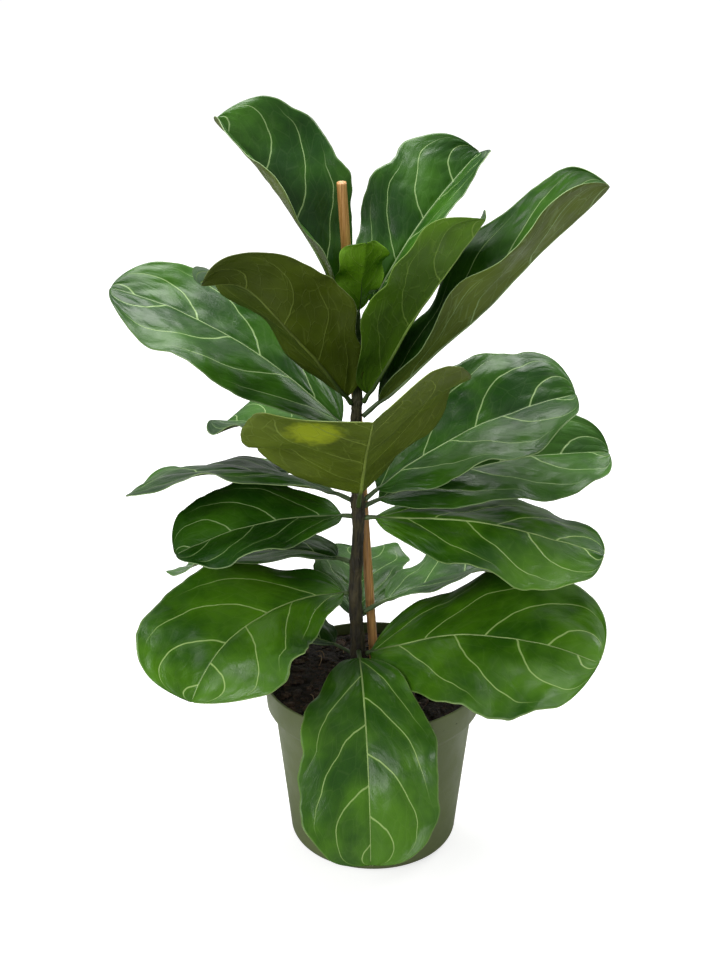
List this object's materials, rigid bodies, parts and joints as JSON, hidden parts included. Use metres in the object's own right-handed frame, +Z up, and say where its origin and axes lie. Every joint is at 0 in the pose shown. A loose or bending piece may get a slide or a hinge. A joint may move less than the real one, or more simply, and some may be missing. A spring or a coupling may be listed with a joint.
{
  "type": "potted plant",
  "caption": "Upright potted plant: a round tapered nursery pot with a collar, filled with soil, and a straight cane-staked stem with large rippled fiddle-shaped leaves all round.",
  "frame": {"origin": "centre of the pot's flat base, on the surface that the plant stands on", "axes": "+Z up along the pot's axis; -Y towards the plant's front; +X to the right seen from the front"},
  "size_m": [0.4648, 0.3425, 0.7203],
  "materials": {
    "pot_plastic": "matte olive green moulded plastic",
    "potting_soil": "dark moist peat with bark chips",
    "stem_bark": "rough brown bark",
    "bamboo": "smooth satin cane",
    "leaf": "satin leathery dark green with pale veins",
    "young_leaf": "satin bright green"
  },
  "bodies": {
    "root": {"pot": "pot_plastic", "soil": "potting_soil", "stem": "stem_bark", "cane": "bamboo", "leaf_01": "leaf", "leaf_02": "leaf", "leaf_03": "leaf", "leaf_04": "leaf", "leaf_05": "leaf", "leaf_06": "leaf", "leaf_07": "leaf", "leaf_08": "leaf", "leaf_09": "leaf", "leaf_10": "leaf", "leaf_11": "leaf", "leaf_12": "leaf", "leaf_13": "leaf", "leaf_14": "leaf", "leaf_15": "leaf", "leaf_16": "leaf", "leaf_17": "leaf", "leaf_18": "leaf", "leaf_19": "leaf", "leaf_20": "leaf", "leaf_21": "leaf", "young_leaf": "young_leaf"}
  },
  "joints": []
}
